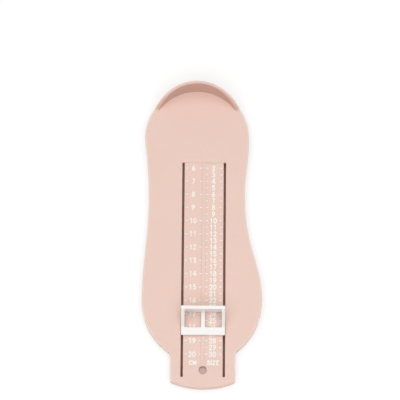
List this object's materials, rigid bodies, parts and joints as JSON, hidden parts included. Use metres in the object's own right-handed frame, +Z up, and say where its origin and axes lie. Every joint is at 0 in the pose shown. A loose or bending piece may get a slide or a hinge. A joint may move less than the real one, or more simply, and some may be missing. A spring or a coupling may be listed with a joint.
{
  "type": "foot measuring device",
  "caption": "Foot-shaped plate with a curved heel wall and a toe stop that slides along a centimetre and shoe size scale, for measuring a child's foot.",
  "frame": {"origin": "on the floor, under the middle of the gauge's bounding box", "axes": "+Y towards the heel wall, +Z up, +X to the right of someone who looks from the toe end; the scale grows towards -Y"},
  "size_m": [0.0888, 0.2274, 0.0295],
  "materials": {
    "pink_plastic": "satin moulded plastic",
    "white_plastic": "smooth moulded plastic"
  },
  "bodies": {
    "base": {"base_shell": "pink_plastic"},
    "slider": {"slider_frame": "white_plastic", "slider_keeper": "white_plastic"}
  },
  "joints": [
    {"name": "toe_stop_slide", "type": "slide", "parent": "base", "child": "slider", "axis": [0, -1, 0], "range_m": [-0.111, 0.034]}
  ]
}
